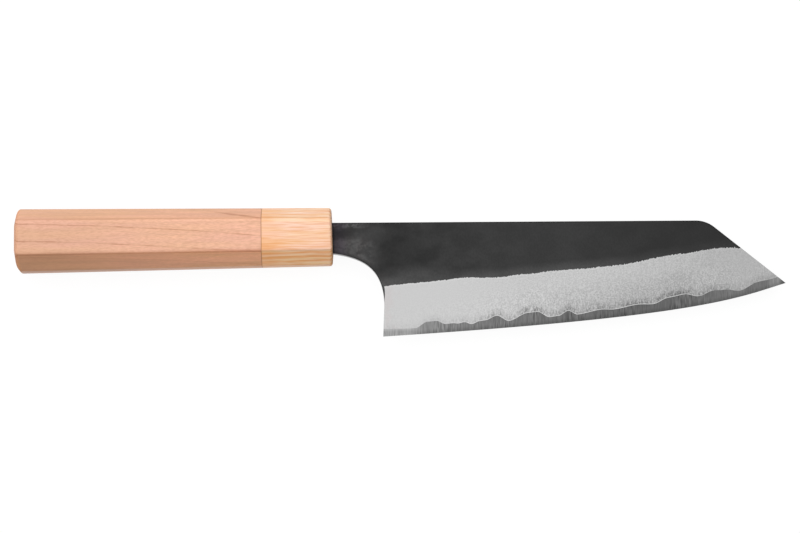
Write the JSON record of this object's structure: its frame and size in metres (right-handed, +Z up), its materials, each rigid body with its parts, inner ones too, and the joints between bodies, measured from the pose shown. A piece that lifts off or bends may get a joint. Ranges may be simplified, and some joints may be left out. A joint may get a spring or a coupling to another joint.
{
  "type": "bunka knife",
  "caption": "Kitchen knife with a tall three-layer forged blade, an angled tip and an octagonal wooden handle with a pale ferrule, for slicing vegetables, fish and meat.",
  "frame": {"origin": "middle of the knife's box in X and Y, on the surface that the flat side of the handle lies on", "axes": "+X along the handle from the butt to the tip, +Y from the cutting edge to the spine, +Z up, away from the surface that the knife lies on"},
  "size_m": [0.3138, 0.054, 0.0221],
  "materials": {
    "core_steel": "fine grinding scratches across the edge",
    "cladding_iron": "black forge scale above, hazy stone-ground grey below",
    "cherry": "sanded, satin",
    "pale_wood": "sanded, satin",
    "dowel_wood": "turned",
    "resin": "set in place"
  },
  "bodies": {
    "root": {"blade_core": "core_steel", "cladding_left": "cladding_iron", "cladding_right": "cladding_iron", "handle_body": "cherry", "ferrule": "pale_wood", "handle_dowel": "dowel_wood", "tang_bedding": "resin"}
  },
  "joints": []
}
